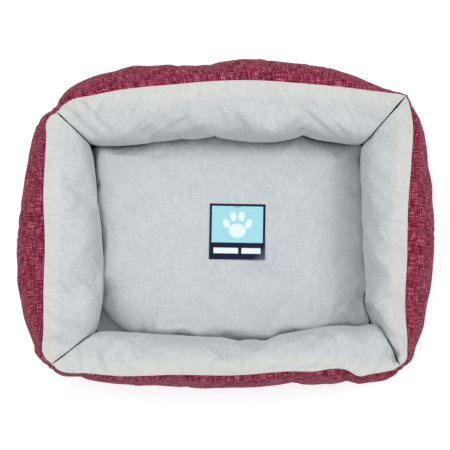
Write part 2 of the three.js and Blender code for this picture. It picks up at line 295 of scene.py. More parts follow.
def noise(places, scale, seed):
    """Smooth noise from -1 to 1 at (n, 2) or (n, 3) places, with lumps of about scale metres."""
    places = np.asarray(places, float) / scale
    cell = np.floor(places).astype(np.int64)
    part = places - cell
    part = part * part * (3 - 2 * part)
    total = np.zeros(places.shape[:-1])
    primes = np.array([73856093, 19349663, 83492791])[: places.shape[-1]]
    for corner in np.ndindex(*(2,) * places.shape[-1]):
        mixed = ((cell + corner) * primes).sum(-1) + seed * 2654435
        mixed = (mixed ^ (mixed >> 13)) * 1274126177 & 0x7FFFFFFF
        value = ((mixed ^ (mixed >> 16)) & 0xFFFF) / 32767.5 - 1
        weight = np.where(np.array(corner) == 1, part, 1 - part).prod(-1)
        total += weight * value
    return total


# ---- The walls' cloth before it is inflated -------------------------------------------------

# The cloth's grid: its columns' spacing, each face's rows, and how much longer than the straight
# line between its corners a wall's cloth is taken to be
SPACING = 5 * MM
OUTER_ROWS, INNER_ROWS = 30, 36
CLOTH_EXTRA = 1.06

# Points along a wall's line and along a mitre, before they are spread evenly
FINE, MITRE_FINE = 400, 60

# Rounds of smoothing for an inner face, which rounds off its turns at the mitres
INNER_SMOOTHING = 14


def plan_corner(name, up=1.0):
    """A corner seam's place in plan, at a share of its height."""
    low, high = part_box("corner_stitch_" + name)
    middle = np.array([(low.x + high.x) / 2, (low.y + high.y) / 2])
    sewn = middle - np.sign(middle) * THREAD_STANDOFF
    tucked_in = 1 - CORNER_TUCK * smoothstep((CORNER_BULGE - up) / CORNER_BULGE)
    spread = np.sign(middle) * CORNER_SPREAD * math.sqrt(0.5) * (1 - up) ** CORNER_LINE * tucked_in
    return sewn + np.array(CORNER_LEAN[name]) * MM * up + spread


def face_profile(rows, bulge, foot, rounding):
    """A face's section from its top seam to its foot, as (share of swell, share of height)."""
    angle = np.linspace(0, math.pi / 2, 40)
    height = bulge + (1 - bulge) * np.cos(angle) ** rounding
    upper = np.column_stack([np.sin(angle) ** rounding, height])
    angle = np.linspace(0, FOOT_ANGLE, 25)[1:]
    tuck = (1 - np.cos(angle)) / (1 - math.cos(FOOT_ANGLE))
    height = bulge * (1 - np.sin(angle) / math.sin(FOOT_ANGLE))
    lower = np.column_stack([1 - (1 - foot) * tuck, height])
    section = np.concatenate([upper, lower]) * SECTION_SIZE
    section = np.column_stack([section, np.zeros(len(section))])
    return respaced(section, rows)[:, :2] / SECTION_SIZE


class Wall:
    """One stuffed wall: where its seams run, and its two faces as grids of points."""

    def __init__(self, name):
        self.name = name
        self.shape = WALLS[name]
        self.corners = self.shape["corners"]
        self.start, self.end = (plan_corner(corner) for corner in self.corners)
        self.into = [np.array(WELL_CORNER[corner]) * MM for corner in self.corners]
        self.length = np.linalg.norm(self.end - self.start)
        self.along = (self.end - self.start) / self.length
        self.outward = np.array([-self.along[1], self.along[0]])
        self.columns = int(round(self.length * CLOTH_EXTRA / SPACING)) + 1
        self.outer = self.outer_face()
        self.inner = self.inner_face()

    def read(self, what, t):
        """One of the wall's curves, in metres, at t of the way along it."""
        return through(self.shape[what], t) * MM

    def seam_height(self, t):
        """The top seam's height, which is least at the corners."""
        arch = np.maximum(np.sin(math.pi * np.clip(t, 0, 1)), 0) ** SEAM_ARCH
        return CORNER_HEIGHT + (WALL_HEIGHT - CORNER_HEIGHT) * arch

    def height(self, t, up):
        """The height of a line that runs a share of the way up from the foot to the seam."""
        return FOOT_HEIGHT + (self.seam_height(t) - FOOT_HEIGHT) * up

    def line(self, t, up):
        """The seam's curve, with its small waves dying out towards the foot."""
        bow = 4 * self.read("seam", np.array([0.5]))[0] * t * (1 - t)
        share = WAVES_LEFT + (1 - WAVES_LEFT) * smoothstep(up / WAVES_FULL)
        return bow + (self.read("seam", t) - bow) * share

    def point(self, t, out, height, up=1.0):
        """Points t of the way along the wall, out metres outside the line between its corners."""
        start, end = (plan_corner(corner, up) for corner in self.corners)
        plan = start + np.multiply.outer(t, end - start) + np.multiply.outer(out, self.outward)
        return np.column_stack([plan, np.broadcast_to(height, (len(plan),))])

    def outer_face(self):
        """Rows along the wall's outside, from the top seam down."""
        t = np.linspace(0, 1, FINE)
        rows = []
        for swell, up in face_profile(OUTER_ROWS, OUTER_BULGE, OUTER_FOOT, OUTER_ROUND):
            out = self.line(t, up) + self.read("outer", t) * swell
            out = out * smoothstep(t / OUTER_EASE) * smoothstep((1 - t) / OUTER_EASE)
            rows.append(respaced(self.point(t, out, self.height(t, up), up), self.columns))
        return np.array(rows)

    def inner_face(self):
        """Rows that run in along the mitre with the next wall, along the wall, and out again."""
        s = np.linspace(0, 1, FINE)
        near_start, near_end = np.exp(-s / INNER_EASE), np.exp(-(1 - s) / INNER_EASE)
        valley = sum(np.exp(-away * self.length / VALLEY_WIDTH) for away in (s, 1 - s))
        share = np.linspace(0, 1, MITRE_FINE)[:-1, None]
        rows = []
        for swell, up in face_profile(INNER_ROWS, INNER_BULGE, INNER_FOOT, INNER_ROUND):
            first, last = (swell * into @ self.along / self.length for into in self.into)
            t = first + (1 + last - first) * s
            out = self.read("seam", t) - self.read("inner", t) * swell
            sunk = VALLEY_DEPTH * math.sqrt(swell) * up * valley
            face = self.point(t, out, self.height(t, up) - sunk)
            start = np.append(self.start + swell * self.into[0], face[0, 2])
            end = np.append(self.end + swell * self.into[1], face[-1, 2])
            face += np.outer(near_start, start - face[0]) + np.outer(near_end, end - face[-1])
            stitch = FOOT_HEIGHT + (CORNER_HEIGHT - FOOT_HEIGHT) * up
            shy = LINING_SHY * smoothstep((1 - up) / SHY_OVER)
            ends = []
            for corner, into in zip(self.corners, self.into):
                plan = plan_corner(corner, up) + into / np.linalg.norm(into) * shy
                ends.append(np.append(plan, stitch))
            going_in = ends[0] + (start - ends[0]) * share
            going_out = end + (ends[1] - end) * (share + share[1])
            rows.append(respaced(np.concatenate([going_in, face, going_out]), self.columns))
        return self.behind_mitres(smoothed(np.array(rows), INNER_SMOOTHING))

    def behind_mitres(self, face):
        """Keeps an inner face on its own side of the planes where it meets the next walls."""
        for corner, into, way in ((self.start, self.into[0], 1), (self.end, self.into[1], -1)):
            across = np.array([-into[1], into[0]]) / np.linalg.norm(into)
            across = across * np.sign(across @ self.along) * way
            past = (face[..., :2] - corner) @ across
            face[..., :2] += np.maximum(MITRE_GAP - past, 0)[..., None] * across
        return face

    def sheet(self):
        """Both faces as one grid, from the outer foot over the top seam to the inner foot."""
        return np.concatenate([self.outer[::-1], self.inner[1:]])

    def take(self, sheet):
        """Sets both faces from such a grid."""
        self.outer = sheet[:OUTER_ROWS][::-1]
        self.inner = self.behind_mitres(sheet[OUTER_ROWS - 1 :].copy())


walls = {name: Wall(name) for name in WALLS}

# ---- Cloth simulation -----------------------------------------------------------------------

SIM_FRAMES = 22
AIR_PRESSURE = 2.0

# How much longer the cloths grow as they're inflated, as a share of their length
WALL_GROWTH, CUSHION_GROWTH = 0.05, 0.02

# The share of the simulated folds that is kept, the most that a fold may stand out, and how far
# from a wall's ends its folds die out
OUTER_KEPT, INNER_KEPT, CUSHION_KEPT = 0.5, 0.7, 0.6
WALL_FOLD, CUSHION_FOLD = 8 * MM, 5 * MM
QUIET_ENDS = 30 * MM

# Rounds of smoothing that tell a cloth's overall swelling from its folds
SWELLING_ROUNDS = 160

# Faces that meet at more than this angle are shaded with a sharp edge
SHARP_ANGLE = math.radians(50)


def grid_faces(rows, columns, start=0, closed=False):
    """Quads of a grid whose points are numbered row by row, joined round if it is closed."""
    index = np.arange(rows * columns).reshape(rows, columns) + start
    if closed:
        index = np.concatenate([index, index[:, :1]], axis=1)
    corners = [index[:-1, :-1], index[1:, :-1], index[1:, 1:], index[:-1, 1:]]
    return np.stack(corners, axis=-1).reshape(-1, 4)


def mesh_object(name, points, faces, uv=None, plain=False):
    """An object made of points and faces, with a UV place for each point if there is one.

    A plain one is left flat shaded, with its faces the way round that they come in.
    """
    mesh = bpy.data.meshes.new(name)
    points = np.asarray(points, float).reshape(-1, 3).tolist()
    mesh.from_pydata(points, [], [list(map(int, face)) for face in faces])
    if not plain:
        turned = bmesh.new()
        turned.from_mesh(mesh)
        bmesh.ops.recalc_face_normals(turned, faces=turned.faces)
        turned.to_mesh(mesh)
        turned.free()
    mesh.update()
    mesh.polygons.foreach_set("use_smooth", [not plain] * len(mesh.polygons))
    if not plain:
        mesh.set_sharp_from_angle(angle=SHARP_ANGLE)
    if uv is not None:
        corners = np.zeros(len(mesh.loops), int)
        mesh.loops.foreach_get("vertex_index", corners)
        layer = mesh.uv_layers.new(name="cloth")
        layer.data.foreach_set("uv", np.asarray(uv, float).reshape(-1, 2)[corners].ravel())
    made = bpy.data.objects.new(name, mesh)
    bpy.context.scene.collection.objects.link(made)
    return made


def inflatable(name, grid, growth, seams=(), turned=False):
    """A grid ready to be inflated. Its edges and seam rows stay, and the cloth between grows."""
    rows, columns = grid.shape[:2]
    pinned = np.zeros((rows, columns), bool)
    pinned[[0, *seams, -1]] = True
    pinned[:, [0, -1]] = True
    faces = grid_faces(rows, columns)
    if turned:
        faces = faces[:, ::-1]
    made = mesh_object(name, grid, faces, plain=True)
    group = made.vertex_groups.new(name="pinned")
    group.add(np.flatnonzero(pinned).tolist(), 1.0, "REPLACE")
    settings = made.modifiers.new("cloth", "CLOTH").settings
    settings.vertex_group_mass = "pinned"
    settings.quality = 4
    settings.mass = 0.25
    settings.tension_stiffness = settings.compression_stiffness = 18
    settings.shear_stiffness = 6
    settings.bending_stiffness = 0.6
    settings.air_damping = 2
    settings.use_pressure = True
    settings.uniform_pressure_force = AIR_PRESSURE
    settings.shrink_min = -growth
    settings.effector_weights.gravity = 0
    return made


def run_cloth(objects):
    """Steps the simulations together and returns where each one's points end up."""
    scene = bpy.context.scene
    for current in range(1, SIM_FRAMES + 1):
        scene.frame_set(current)
    graph = bpy.context.evaluated_depsgraph_get()
    found = []
    for made in objects:
        mesh = made.evaluated_get(graph).data
        points = np.zeros(len(mesh.vertices) * 3)
        mesh.vertices.foreach_get("co", points)
        found.append(points.reshape(-1, 3))
    scene.frame_set(1)
    for made in objects:
        bpy.data.objects.remove(made)
    return found


def kept_folds(before, after, most, share, quiet_ends=0.0):
    """A simulated grid with its overall swelling taken off and only a share of its folds left."""
    moved = after - before
    moved = (moved - smoothed(moved, SWELLING_ROUNDS)) * share
    size = np.linalg.norm(moved, axis=2, keepdims=True)
    moved = moved * np.minimum(1, most / np.maximum(size, 1e-9))
    if quiet_ends:
        along = lengths(before[len(before) // 2])
        from_end = np.minimum(along, along[-1] - along)
        moved = moved * smoothstep(from_end / quiet_ends)[None, :, None]
    return before + moved


def inflate_walls():
    """Inflates all four walls' cloths at once and keeps their folds."""
    seams = (OUTER_ROWS - 1,)
    sims = [inflatable("sim_" + wall.name, wall.sheet(), WALL_GROWTH, seams) for wall in walls.values()]
    for wall, points in zip(walls.values(), run_cloth(sims)):
        start = wall.sheet()
        share = np.where(np.arange(len(start)) < OUTER_ROWS, OUTER_KEPT, INNER_KEPT)[:, None, None]
        wall.take(kept_folds(start, points.reshape(start.shape), WALL_FOLD, share, QUIET_ENDS))


inflate_walls()

# ---- Materials ------------------------------------------------------------------------------


def tinted(colour, share):
    """A colour made darker or paler."""
    return tuple(part * share for part in colour)


class Nodes:
    """Short way to write a material's node tree."""

    def __init__(self, name):
        self.material = bpy.data.materials.new(name)
        self.material.use_nodes = True
        self.tree = self.material.node_tree
        self.shader = self.tree.nodes["Principled BSDF"]

    def add(self, kind, inputs=None, **settings):
        node = self.tree.nodes.new("ShaderNode" + kind)
        for key, value in settings.items():
            setattr(node, key, value)
        for key, value in (inputs or {}).items():
            self.put(node.inputs[key], value)
        return node

    def put(self, socket, value):
        """Links a socket to another, or sets its value."""
        if isinstance(value, bpy.types.NodeSocket):
            self.tree.links.new(value, socket)
        elif socket.type == "RGBA":
            socket.default_value = (*value, 1)
        else:
            socket.default_value = value

    def uv(self):
        return self.add("UVMap", uv_map="cloth").outputs["UV"]

    def noise(self, vector, scale, detail=2.0, rough=0.5):
        inputs = {"Vector": vector, "Scale": scale, "Detail": detail, "Roughness": rough}
        return self.add("TexNoise", inputs).outputs["Fac"]

    def stretched_noise(self, place, scale, detail=2.0, rough=0.5):
        """Noise that varies as many times to the unit, each way, as the scale says."""
        vector = self.add("Mapping", {"Vector": place, "Scale": scale}).outputs["Vector"]
        return self.noise(vector, 1.0, detail, rough)

    def cloth_noise(self, along, down, detail=2.0, rough=0.5):
        """Noise over the cloth, whose UV map is in metres."""
        return self.stretched_noise(self.uv(), (along, down, 1), detail, rough)

    def math(self, operation, *values):
        node = self.add("Math", operation=operation)
        for socket, value in zip(node.inputs, values):
            self.put(socket, value)
        return node.outputs[0]

    def between(self, value, low, high, **settings):
        """A value taken from 0 at low to 1 at high."""
        inputs = {"Value": value, "From Min": low, "From Max": high}
        return self.add("MapRange", inputs, **settings).outputs[0]

    def ramp(self, factor, *stops):
        node = self.add("ValToRGB", {"Fac": factor})
        elements = node.color_ramp.elements
        while len(elements) < len(stops):
            elements.new(0.5)
        for element, (position, colour) in zip(elements, stops):
            element.position = position
            element.color = (*colour, 1)
        return node.outputs["Color"]

    def mottled(self, factor, colour, spread):
        """A colour that varies by a share of itself either way."""
        return self.ramp(factor, (0.3, tinted(colour, 1 - spread)), (0.7, tinted(colour, 1 + spread)))

    def mix(self, factor, first, second):
        node = self.add("Mix", data_type="RGBA", blend_type="MIX")
        for place, value in ((0, factor), (6, first), (7, second)):
            self.put(node.inputs[place], value)
        return node.outputs[2]

    def bump(self, height, strength, distance):
        inputs = {"Height": height, "Strength": strength, "Distance": distance}
        return self.add("Bump", inputs).outputs["Normal"]

    def finish(self, **sockets):
        """Sets the shader's sockets, named with _ for each space, and returns the material."""
        for key, value in sockets.items():
            self.put(self.shader.inputs[key.replace("_", " ")], value)
        return self.material


def linen():
    """Slubby woven cloth: uneven threads both ways, in dark and pale burgundy."""
    n = Nodes("burgundy_linen")
    warp = n.cloth_noise(720, 62, 1.0)
    weft = n.cloth_noise(62, 720, 1.0)
    slub = n.cloth_noise(400, 400, 2.0, 0.6)
    crossed = n.math("MULTIPLY_ADD", warp, 0.4, n.math("MULTIPLY", weft, 0.4))
    threads = n.math("MULTIPLY_ADD", slub, 0.2, crossed)
    colour = n.ramp(
        threads,
        (0.38, (0.07, 0.003, 0.012)),
        (0.46, (0.16, 0.011, 0.031)),
        (0.53, (0.28, 0.031, 0.070)),
        (0.61, (0.54, 0.15, 0.22)),
    )
    return n.finish(
        Base_Color=colour,
        Roughness=n.math("MULTIPLY_ADD", threads, 0.25, 0.72),
        Normal=n.bump(threads, 0.7, 1.5 * MM),
        Sheen_Weight=0.06,
        Sheen_Roughness=0.5,
        Sheen_Tint=(0.9, 0.6, 0.65),
        Specular_IOR_Level=0.12,
    )


def plush(name, colour, lit_crest=None):
    """Short soft pile with a fine nap and brushed patches. A crest colour, if given, paints a paler, warmer
    strip along its seam as painted light on the crest.
    """
    n = Nodes(name)
    nap = n.cloth_noise(430, 430, 2.0, 0.6)
    brushed = n.cloth_noise(150, 95, 3.0, 0.6)
    patches = n.cloth_noise(22, 28)
    shade = n.math("ADD", n.math("MULTIPLY", nap, 0.5), n.math("MULTIPLY", brushed, 0.32))
    shade = n.math("ADD", shade, n.math("MULTIPLY", patches, 0.18))
    tint = n.mottled(shade, colour, 0.16)
    if lit_crest:
        # Painted highlight: a paler, warmer strip of the crest colour just below the top seam, with a
        # wavering edge
        down = n.add("SeparateXYZ", {"Vector": n.uv()}).outputs[1]
        level = n.math("SUBTRACT", down, 15 * MM)
        wavering = n.math("MULTIPLY_ADD", n.cloth_noise(7, 9), 30 * MM, level)
        crest_highlight = n.between(wavering, 27 * MM, 13 * MM, interpolation_type="SMOOTHSTEP")
        tint = n.mix(crest_highlight, tint, n.mottled(shade, lit_crest, 0.12))
    height = n.math("ADD", n.math("MULTIPLY", nap, 0.6), brushed)
    return n.finish(
        Base_Color=tint,
        Roughness=0.95,
        Normal=n.bump(height, 0.4, 1.2 * MM),
        Sheen_Weight=0.35,
        Sheen_Roughness=0.4,
        Sheen_Tint=(0.95, 0.97, 0.97),
        Specular_IOR_Level=0.15,
    )


def fibre():
    """White polyester stuffing in strands and clumps."""
    n = Nodes("polyester_fibre")
    place = n.add("TexCoord").outputs["Object"]
    strands = n.stretched_noise(place, (420, 420, 120), 4.0, 0.7)
    clumps = n.noise(place, 60.0, 3.0, 0.6)
    shade = n.math("MULTIPLY_ADD", strands, 0.5, n.math("MULTIPLY", clumps, 0.5))
    return n.finish(
        Base_Color=n.ramp(shade, (0.3, (0.72, 0.72, 0.69)), (0.7, (0.92, 0.92, 0.90))),
        Roughness=0.95,
        Normal=n.bump(shade, 0.8, 3 * MM),
        Sheen_Weight=0.3,
        Specular_IOR_Level=0.1,
    )


def base_cloth():
    """Dark non-woven cloth, slightly mottled."""
    n = Nodes("base_nonwoven")
    felt = n.cloth_noise(700, 700, 3.0, 0.7)
    shade = n.math("MULTIPLY_ADD", felt, 0.6, n.math("MULTIPLY", n.cloth_noise(60, 60), 0.4))
    return n.finish(
        Base_Color=n.ramp(shade, (0.3, (0.022, 0.024, 0.028)), (0.7, (0.055, 0.057, 0.065))),
        Roughness=0.85,
        Normal=n.bump(felt, 0.5, 0.6 * MM),
        Specular_IOR_Level=0.3,
    )


def thread():
    """Burgundy sewing thread with its ply just showing."""
    n = Nodes("burgundy_thread")
    ply = n.cloth_noise(1500, 500)
    colour = n.ramp(ply, (0.35, (0.09, 0.012, 0.026)), (0.65, (0.22, 0.045, 0.075)))
    return n.finish(Base_Color=colour, Roughness=0.55, Normal=n.bump(ply, 0.5, 0.3 * MM))


def nylon():
    """Clear moulded nylon with a slight haze."""
    n = Nodes("clear_nylon")
    haze = n.cloth_noise(600, 600)
    return n.finish(
        Base_Color=(0.75, 0.92, 0.95),
        Roughness=n.math("MULTIPLY_ADD", haze, 0.12, 0.12),
        Normal=n.bump(haze, 0.15, 0.2 * MM),
        Transmission_Weight=0.7,
        IOR=1.53,
    )


# The tag's colours, and where its print lies, as shares of its width and height
BLUE, NAVY, PALE = (0.36, 0.70, 0.79), (0.003, 0.004, 0.030), (0.78, 0.88, 0.91)
# The pale violet colour on the next line is a painted reflection: the glare on the tag's lifted lower right
# corner
CORNER_GLARE, PLAIN_CARD = (0.42, 0.42, 0.62), (0.74, 0.76, 0.77)
FIELD = (0.042, 0.958, 0.305, 0.958)
BARS = ((0.08, 0.52, 0.11, 0.21), (0.58, 0.92, 0.11, 0.21))
PAD = (0.5, 0.52, 0.155, 0.125, 0.0)
TOES = ((0.30, 0.645, 0.45), (0.425, 0.775, 0.15), (0.575, 0.775, -0.15), (0.70, 0.645, -0.45))
TOE_SIZE = (0.058, 0.085)

# The tag's underside has its places on the print moved this far along, where nothing is printed
PLAIN_SIDE = 2.0


def printed_card():
    """A glossy tag with a dark border and band, a pale paw on a light field, and two plain bars, with a
    painted glare on its lower right corner.
    """
    n = Nodes("printed_card")
    uv = n.uv()
    split = n.add("SeparateXYZ", {"Vector": uv})
    u, v = split.outputs[0], split.outputs[1]

    def inside(value, low, high, soft=0.004):
        rise = n.between(value, low - soft, low + soft)
        return n.math("MULTIPLY", rise, n.between(value, high + soft, high - soft))

    def block(left, right, bottom, top):
        return n.math("MULTIPLY", inside(u, left, right), inside(v, bottom, top))

    def ellipse(cx, cy, rx, ry, turn):
        c, s = math.cos(turn), math.sin(turn)
        du, dv = n.math("SUBTRACT", u, cx), n.math("SUBTRACT", v, cy)
        a = n.math("ADD", n.math("MULTIPLY", du, c / rx), n.math("MULTIPLY", dv, s / rx))
        b = n.math("ADD", n.math("MULTIPLY", du, -s / ry), n.math("MULTIPLY", dv, c / ry))
        far = n.math("SQRT", n.math("ADD", n.math("MULTIPLY", a, a), n.math("MULTIPLY", b, b)))
        return n.between(far, 1.06, 0.94)

    ink = n.stretched_noise(uv, (90, 90, 1))
    colour = n.mix(block(*FIELD), NAVY, n.mottled(ink, BLUE, 0.05))
    shown = ellipse(*PAD)
    for cx, cy, turn in TOES:
        shown = n.math("MAXIMUM", shown, ellipse(cx, cy, *TOE_SIZE, turn))
    for bar in BARS:
        shown = n.math("MAXIMUM", shown, block(*bar))
    colour = n.mix(shown, colour, PALE)
    # Painted reflection: patchy pale violet glare over the lower right corner, where the card lifts
    glare_patches = n.math("MULTIPLY", n.noise(uv, 9.0), 0.55)
    at_corner = n.between(n.math("SUBTRACT", u, v), 0.72, 1.0)
    colour = n.mix(n.math("MULTIPLY", at_corner, glare_patches), colour, CORNER_GLARE)
    colour = n.mix(n.math("GREATER_THAN", u, (1 + PLAIN_SIDE) / 2), colour, PLAIN_CARD)
    fibres = n.stretched_noise(uv, (160, 160, 1), 3.0, 0.6)
    return n.finish(
        Base_Color=colour,
        Roughness=n.math("MULTIPLY_ADD", fibres, 0.1, 0.3),
        Normal=n.bump(fibres, 0.1, 0.1 * MM),
        Specular_IOR_Level=0.08,
    )


linen_material = linen()
plush_material = plush("pale_plush", (0.562, 0.592, 0.607))
# The lining is the cushion's plush made a little darker, as painted shade on the walls' inward faces; its
# crest colour is a painted highlight
lining_material = plush("pale_plush_lining", (0.548, 0.572, 0.580), lit_crest=(0.612, 0.616, 0.592))
fibre_material = fibre()
base_material = base_cloth()
thread_material = thread()
nylon_material = nylon()
card_material = printed_card()

# ---- Sewn cloths ----------------------------------------------------------------------------

OUTER_CLOTH, LINING_CLOTH = 1.4 * MM, 2.0 * MM

# How far each face is drawn in where two lengths of cloth are joined, and over what width
JOIN_DENT = {"outer": 1.6 * MM, "inner": 0.5 * MM}
JOIN_WIDTH = 2.2 * MM

# The first rows of a fine grid of cloth, in rows of its wall's grid, close together at the seam
SEAM_ROWS = [0, 0.22, 0.45, 0.7, 1.0]

# The rows of a lining's turned edge, in mm: how far out of its top edge, how far above it, and
# how far before it on the cloth
LIP = ((1.1, -2.4, -4.2), (1.3, -0.9, -2.7), (0.9, 0.2, -1.4))


def dress(piece, body, slot, material, *nodes):
    """Gives a piece its body and material, and hides the frame nodes that it stands for. Its slot is not
    used.
    """
    piece.data.materials.clear()
    piece.data.materials.append(material)
    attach(piece, body)
    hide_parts(*nodes)
    return piece


def closed_pair(name, upper, under, uv, under_uv):
    """A closed piece: two grids of one size, joined by a rim round their edges."""
    rows, columns = upper.shape[:2]
    count = rows * columns
    index = np.arange(count).reshape(rows, columns)
    edge = np.concatenate([index[0, :-1], index[:-1, -1], index[-1, :0:-1], index[:0:-1, 0]])
    after = np.roll(edge, -1)
    rim = np.stack([edge, after, after + count, edge + count], axis=1)
    sheet = grid_faces(rows, columns)
    faces = np.concatenate([sheet, sheet[:, ::-1] + count, rim])
    points = np.concatenate([upper.reshape(-1, 3), under.reshape(-1, 3)])
    places = np.concatenate([uv.reshape(-1, 2), under_uv.reshape(-1, 2)])
    return mesh_object(name, points, faces, places)


def closed_sheet(name, grid, uv, thickness, side=1, under_uv=0.0):
    """A cloth of a real thickness: a grid, and the same grid moved inwards."""
    thickness = np.broadcast_to(thickness, grid.shape[:2])[..., None]
    return closed_pair(name, grid, grid - normals_of(grid, side) * thickness, uv, uv + [under_uv, 0])


def tube(name, path, radius, sides):
    """A round bar or thread along a row of points, closed at both ends."""
    radius = np.broadcast_to(radius, len(path))
    ahead = np.gradient(path, axis=0)
    ahead /= np.linalg.norm(ahead, axis=1, keepdims=True)
    never_along_it = [0.31, 0.17, 0.93]
    across = np.cross(ahead, never_along_it)
    across /= np.linalg.norm(across, axis=1, keepdims=True)
    up = np.cross(ahead, across)
    angle = np.arange(sides) * 2 * math.pi / sides
    ring = np.cos(angle)[None, :, None] * across[:, None] + np.sin(angle)[None, :, None] * up[:, None]
    points = path[:, None] + ring * radius[:, None, None]
    last = (len(path) - 1) * sides
    faces = grid_faces(len(path), sides, closed=True).tolist()
    faces += [list(range(sides)), [last + k for k in range(sides)]]
    uv = np.stack(np.broadcast_arrays(lengths(path)[:, None], angle[None] * radius.mean()), axis=-1)
    return mesh_object(name, points, faces, uv)


def depth_of(grid):
    """Each point's distance down its cloth from the top edge."""
    steps = np.linalg.norm(np.diff(grid, axis=0), axis=2)
    return np.concatenate([np.zeros((1, grid.shape[1])), np.cumsum(steps, axis=0)])


def folded(grid, side, folds, share, down):
    """Pushes a wall's cloth in or out along its folds, which fade at their ends and at the seam."""
    # On half a wall this is half its length, so folds come out twice as wide there as they say
    length = SPACING * len(share) / 2
    total = np.zeros(down.shape)
    for along_1, down_1, along_2, down_2, width, height in folds:
        a = np.array([along_1 * length, down_1 * MM])
        b = np.array([along_2 * length, down_2 * MM])
        size = np.linalg.norm(b - a)
        way = (b - a) / size
        x, y = np.broadcast_to(share * length, down.shape) - a[0], down - a[1]
        s = (x * way[0] + y * way[1]) / size
        off = (x * way[1] - y * way[0]) / (width * MM)
        fade = smoothstep((s + 0.12) / 0.2) * smoothstep((1.15 - s) / 0.45)
        total += height * MM * np.exp(-(off ** 2)) * fade
    total = total * smoothstep(down / (6 * MM))
    return grid + normals_of(grid, side) * total[..., None]


def rumpled(grid, side, down):
    """Adds the soft slanting rumples of cloth over loose stuffing, which die out at the edges."""
    steps = np.linalg.norm(np.diff(grid, axis=1, prepend=grid[:, :1]), axis=2)
    along = np.cumsum(steps, axis=1)
    slanting = noise(np.stack([along + 0.35 * down, down * 0.35], axis=-1), 26 * MM, 21)
    round_ones = noise(grid, 45 * MM, 22)
    low_down = 1 + 1.3 * smoothstep((down - 90 * MM) / (25 * MM))
    height = (1.2 * slanting + 1.4 * round_ones) * MM * smoothstep(down / (20 * MM)) * low_down
    near_end = np.minimum(along, along[:, -1:] - along)
    for away, width in ((down[-1:] - down, 14 * MM), (near_end, 12 * MM)):
        height = height * smoothstep(away / width)
    return grid + normals_of(grid, side) * height[..., None]


def half_ring(before, whole, after, face):
    """A face of a whole wall and of half of the wall on each side of it, as one grid.

    It comes with how open the wall is at each column, from 0 at a pinched corner to 1.
    """
    side = -1 if face == "outer" else 1
    pieces, open_parts = [], []
    for wall, first, last in ((before, 0.5, 1), (whole, 0, 1), (after, 0, 0.5)):
        grid = getattr(wall, face)
        end = grid.shape[1] - 1
        share = np.linspace(first, last, int(round((last - first) * wall.columns * 2)))
        rows = np.concatenate([SEAM_ROWS, np.arange(1.5, len(grid) - 0.75, 0.5)])
        fine = resampled(grid, rows, share * end)
        down = depth_of(fine)
        fine = folded(fine, side, FOLDS[wall.name, face], share, down)
        if face == "outer":
            fine = rumpled(fine, side, down)
        if wall is not whole:
            from_join = np.abs(share - 0.5) * end * SPACING
            dent = JOIN_DENT[face] * np.exp(-((from_join / JOIN_WIDTH) ** 2))
            fine = fine - normals_of(fine, side) * dent[None, :, None]
        if face == "inner":
            for into, away in zip(wall.into, (share, 1 - share)):
                tucked = TUCK * np.exp(-((away * end * SPACING / TUCK_WIDTH) ** 2))
                fine[..., :2] += tucked[None, :, None] * into / np.linalg.norm(into)
        from_corner = np.minimum(share, 1 - share) * end * SPACING
        pieces.append(fine)
        open_parts.append(smoothstep((from_corner - 8 * MM) / (40 * MM)))
    opened = np.concatenate([open_parts[0][:-1], open_parts[1], open_parts[2][1:]])
    return np.concatenate([pieces[0][:, :-1], pieces[1], pieces[2][:, 1:]], axis=1), opened


def cloth_uv(grid):
    """Places on the cloth in metres: along its top edge, and down from it."""
    down = depth_of(grid)
    return np.stack([np.broadcast_to(lengths(grid[0]), down.shape), down], axis=-1)


def with_seam_groove(grid, uv, side, opened, depth):
    """Pulls the cloth in along its top edge, where it is sewn, with fine puckers beside it."""
    down = uv[..., 1]
    pucker = noise(np.stack([uv[..., 0], down * 0.15], axis=-1), 9 * MM, 3)
    pull = depth * np.exp(-((down / (2.2 * MM)) ** 2))
    ripple = 0.7 * MM * pucker * np.exp(-down / (11 * MM)) * smoothstep(down / (2 * MM)) * opened
    return grid + normals_of(grid, side) * (ripple - pull)[..., None]


def with_lip(grid, uv, opened):
    """Turns a lining's top edge out and down over the cover's, as the seam pulls it."""
    tangent = np.gradient(grid[0], axis=0)
    out = np.column_stack([-tangent[:, 1], tangent[:, 0], np.zeros(len(tangent))])
    out /= np.linalg.norm(out, axis=1, keepdims=True)
    out = out * (0.35 + 0.65 * opened)[:, None]
    up = np.array([0, 0, 1.0])
    rows = [grid[0] + out * reach * MM + up * rise * MM for reach, rise, _ in LIP]
    places = [uv[0] + [0, before * MM] for _, _, before in LIP]
    grid = np.concatenate([rows, grid])
    grid[len(LIP)] += up * 0.5 * MM
    return grid, np.concatenate([places, uv])


def outer_cloth(half, order):
    """Half of the burgundy cover, kept below its seam and thin near it, under the lining's lip."""
    grid, opened = half_ring(*order, "outer")
    uv = cloth_uv(grid)
    down = uv[..., 1]
    grid = with_seam_groove(grid, uv, -1, opened, 1.2 * MM)
    away = np.linalg.norm(grid[..., :2] - grid[:1, :, :2], axis=2)
    grid[1:, :, 2] = np.minimum(grid[..., 2], grid[:1, :, 2] - 0.3 * away)[1:]
    grid[..., 2] -= 1.1 * MM * np.exp(-down / (8 * MM))
    thickness = OUTER_CLOTH * (0.2 + 0.8 * smoothstep(down / (5 * MM)))
    made = closed_sheet("outer_cloth_" + half, grid, uv, thickness, side=-1)
    dress(made, "bed_shell", "outer_fabric", linen_material, "outer_cover_" + half)


def lining_cloth(half, order):
    """Half of the plush lining, with its lip, thin where it is pinched into the corners."""
    grid, opened = half_ring(*order, "inner")
    uv = cloth_uv(grid)
    grid = with_seam_groove(grid, uv, 1, opened, 0.3 * MM)
    grid, uv = with_lip(grid, uv, opened)
    made = closed_sheet("lining_cloth_" + half, grid, uv, LINING_CLOTH * (0.15 + 0.85 * opened))
    dress(made, "bed_shell", "plush", lining_material, "lining_" + half)


